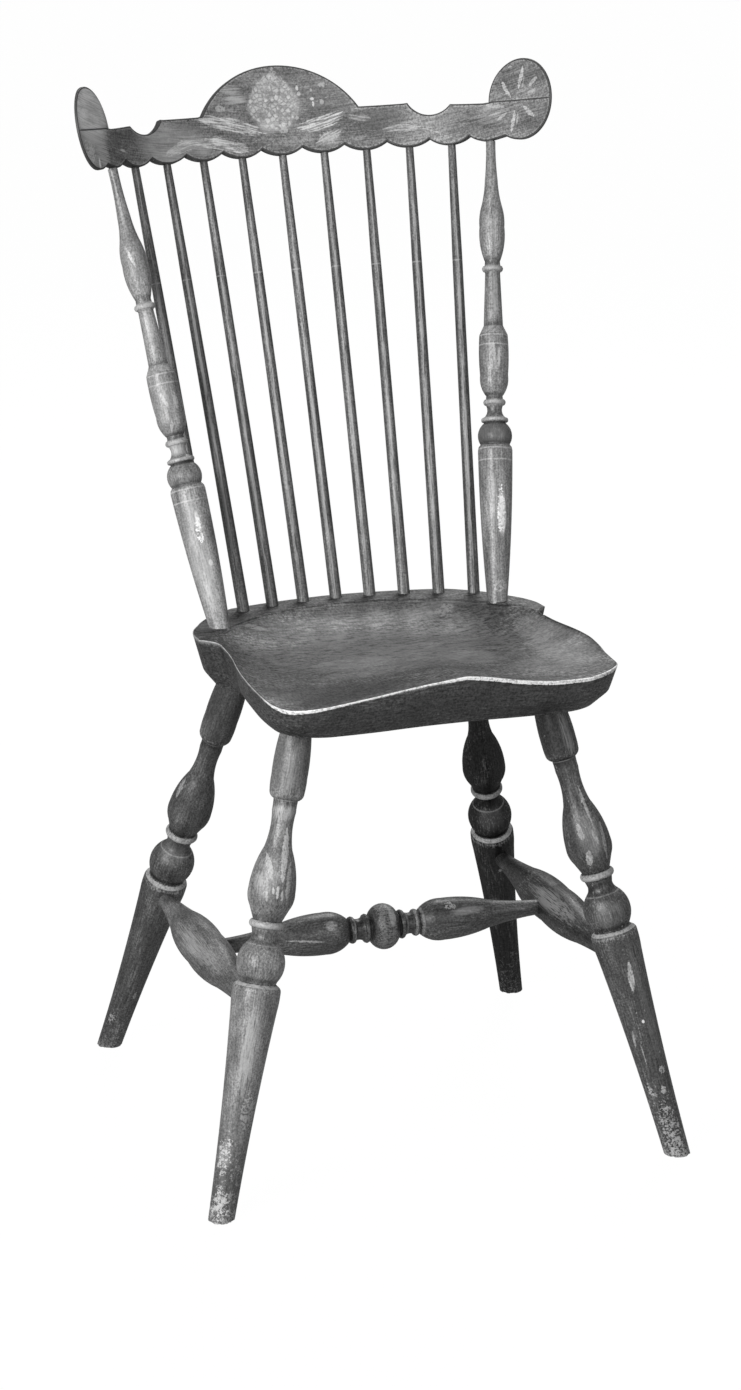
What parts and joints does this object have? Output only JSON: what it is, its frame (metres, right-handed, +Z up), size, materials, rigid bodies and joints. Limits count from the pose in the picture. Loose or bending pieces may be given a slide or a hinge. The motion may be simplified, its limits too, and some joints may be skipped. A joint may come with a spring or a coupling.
{
  "type": "fan-back side chair",
  "caption": "Fan-back side chair with a carved saddle seat, splayed turned legs, stretchers, turned posts, plain spindles and a scalloped bent crest rail, in worn stenciled paint.",
  "frame": {"origin": "on the floor under the middle of the chair's overall footprint", "axes": "+Z up along the chair's height, -Y toward the front edge of the seat, +X to the right as seen from the front"},
  "size_m": [0.4602, 0.5306, 0.9473],
  "materials": {
    "seat_paint": "worn dark paint, satin, rubbed through to lighter wood at edges and feet",
    "leg_paint": "worn dark paint, satin, rubbed through to lighter wood at edges and feet",
    "stretcher_paint": "worn dark paint, satin, rubbed through to lighter wood at edges and feet",
    "post_paint": "worn dark paint, satin, rubbed through to lighter wood at edges and feet",
    "spindle_paint": "worn dark paint, satin, rubbed through to lighter wood at edges and feet",
    "crest_paint": "worn dark paint, satin, rubbed through to lighter wood at edges and feet"
  },
  "bodies": {
    "root": {"seat": "seat_paint", "crest_rail": "crest_paint", "left_ear_cap": "crest_paint", "right_ear_cap": "crest_paint", "left_post": "post_paint", "right_post": "post_paint", "left_side_stretcher": "stretcher_paint", "right_side_stretcher": "stretcher_paint", "medial_stretcher": "stretcher_paint", "front_left_leg": "leg_paint", "front_right_leg": "leg_paint", "rear_left_leg": "leg_paint", "rear_right_leg": "leg_paint", "spindle_1": "spindle_paint", "spindle_2": "spindle_paint", "spindle_3": "spindle_paint", "spindle_4": "spindle_paint", "spindle_5": "spindle_paint", "spindle_6": "spindle_paint", "spindle_7": "spindle_paint", "spindle_8": "spindle_paint", "spindle_9": "spindle_paint"}
  },
  "joints": []
}
